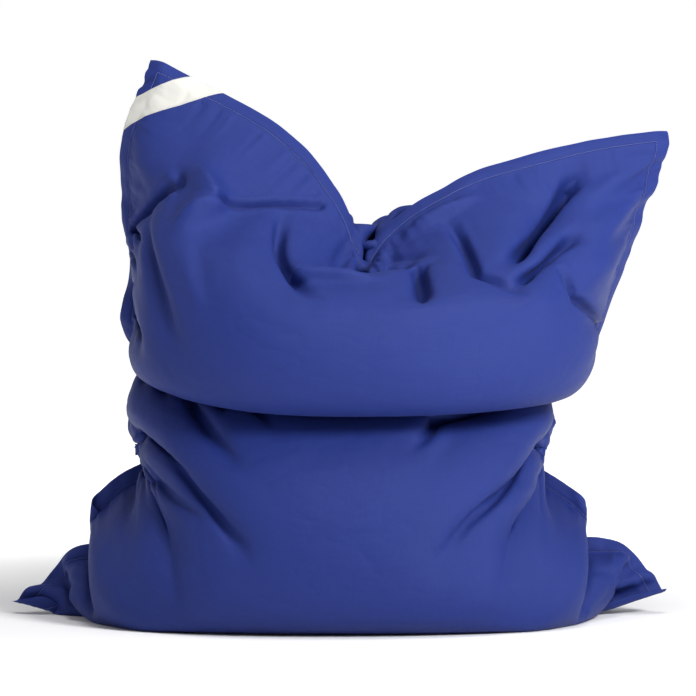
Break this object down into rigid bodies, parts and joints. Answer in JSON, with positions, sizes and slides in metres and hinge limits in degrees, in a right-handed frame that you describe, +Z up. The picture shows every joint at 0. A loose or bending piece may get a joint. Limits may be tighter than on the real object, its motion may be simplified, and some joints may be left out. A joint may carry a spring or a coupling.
{
  "type": "bean bag chair",
  "caption": "Large flanged cushion cover filled with loose beads, stood on one edge and creased into a seat and a backrest that leans back, with a zip across the back.",
  "frame": {"origin": "on the floor, under the middle of the overall box", "axes": "+Z up, +Y towards the back, +X to the right as seen from the front"},
  "size_m": [1.23, 0.74, 1.1],
  "materials": {
    "foam_beads": "white expanded polystyrene beads",
    "cover_fabric": "blue coated polyester, slightly satin",
    "cover_thread": "blue bonded thread",
    "band_fabric": "off-white woven band, plain",
    "label_ribbon": "white satin ribbon, blank",
    "zip_tape": "navy woven tape",
    "zip_coil": "navy nylon coil",
    "zip_metal": "nickel-plated zinc"
  },
  "bodies": {
    "seat": {"seat_bead_fill": "foam_beads", "front_panel": "cover_fabric", "back_panel": "cover_fabric", "back_hem_panel": "cover_fabric", "flange_topstitch": "cover_thread", "care_label": "label_ribbon", "zip_tape_upper": "zip_tape", "zip_tape_lower": "zip_tape", "zip_coil_upper": "zip_coil", "zip_coil_lower": "zip_coil", "zip_stops": "zip_metal", "zip_end_tabs": "cover_fabric"},
    "backrest": {"backrest_bead_fill": "foam_beads", "corner_band": "band_fabric"},
    "slider": {"zip_slider": "zip_metal"},
    "pull_tab": {"zip_pull_tab": "zip_metal"}
  },
  "joints": [
    {"name": "recline", "type": "hinge", "parent": "seat", "child": "backrest", "pos_m": [0, 0.11, 0.44], "axis": [-1, 0, 0], "range_deg": [0, 20], "deforming": ["front_panel", "back_panel", "flange_topstitch"]},
    {"name": "zip_slide", "type": "slide", "parent": "seat", "child": "slider", "axis": [-1, 0, 0], "range_m": [0, 0.536]},
    {"name": "pull_tab_hinge", "type": "hinge", "parent": "slider", "child": "pull_tab", "pos_m": [0.268, 0.3683, 0.122], "axis": [0, 0, -1], "range_deg": [0, 160]}
  ]
}
